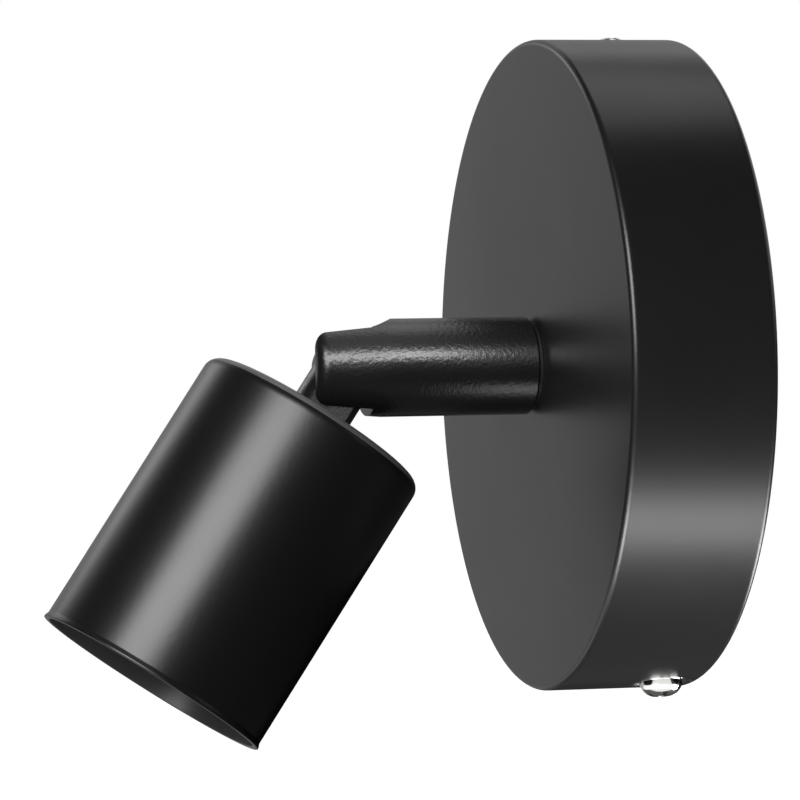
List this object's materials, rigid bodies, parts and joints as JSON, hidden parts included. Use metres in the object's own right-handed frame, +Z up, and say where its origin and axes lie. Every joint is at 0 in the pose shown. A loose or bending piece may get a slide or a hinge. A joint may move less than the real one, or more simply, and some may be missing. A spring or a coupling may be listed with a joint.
{
  "type": "pivoting spotlight wall light",
  "caption": "Round wall canopy with a short swivel arm and a knuckle that tilts a cylindrical lamp cup for a screw-in lamp, satin black.",
  "frame": {"origin": "middle of the bracket's back face, on the wall", "axes": "+Z up, +Y into the wall, -Y into the room, +X to the viewer's right"},
  "size_m": [0.12, 0.1189, 0.1299],
  "materials": {
    "black_paint": "satin black powder coat on pressed steel",
    "black_paint_fine": "satin black paint with a fine orange peel",
    "nickel": "bright nickel plating",
    "zinc_steel": "zinc plated steel",
    "spring_steel": "plain spring steel",
    "black_steel": "black oxide",
    "brass": "plain brass",
    "tinned_brass": "tinned brass",
    "white_nylon": "natural nylon",
    "black_nylon": "black nylon",
    "live_insulation": "brown insulation",
    "neutral_insulation": "blue insulation",
    "earth_insulation": "green and yellow insulation",
    "holder_plastic": "black heat-proof thermoset",
    "holder_ceramic": "unglazed steatite",
    "shell_nickel": "nickel plated copper alloy"
  },
  "bodies": {
    "base": {"canopy": "black_paint", "canopy_screws": "nickel", "stop_stud": "zinc_steel", "mounting_bracket": "zinc_steel", "terminal_block": "white_nylon", "terminal_barrels": "brass", "terminal_screws": "zinc_steel", "block_screw": "zinc_steel", "earth_tag": "tinned_brass", "earth_screw": "brass", "earth_lead": "earth_insulation", "live_lead": "live_insulation", "neutral_lead": "neutral_insulation"},
    "arm": {"swivel_arm": "black_paint_fine", "hollow_nipple": "zinc_steel", "face_washer": "black_nylon", "slide_washer": "white_nylon", "stop_washer": "zinc_steel", "spring_washer": "spring_steel", "nipple_nut": "zinc_steel", "nipple_bush": "black_nylon", "pivot_screw": "black_steel", "pivot_friction_washer": "black_nylon", "pivot_spring_washer": "spring_steel", "arm_live_lead": "live_insulation", "arm_neutral_lead": "neutral_insulation"},
    "head": {"knuckle_stem": "black_paint_fine", "lamp_cup": "black_paint", "cup_lock_washer": "spring_steel", "stem_nut": "zinc_steel", "holder_cap": "holder_plastic", "holder_skirt": "holder_plastic", "contact_base": "holder_ceramic", "holder_terminal_screws": "zinc_steel", "screw_shell": "shell_nickel", "centre_contact": "brass", "head_live_lead": "live_insulation", "head_neutral_lead": "neutral_insulation"}
  },
  "joints": [
    {"name": "arm_swivel", "type": "hinge", "parent": "base", "child": "arm", "pos_m": [0, -0.027, 0], "axis": [0, 1, 0], "range_deg": [-162, 168]},
    {"name": "head_tilt", "type": "hinge", "parent": "arm", "child": "head", "pos_m": [0, -0.0619, 0], "axis": [-0.9986, 0, -0.0523], "range_deg": [-5, 146]}
  ]
}
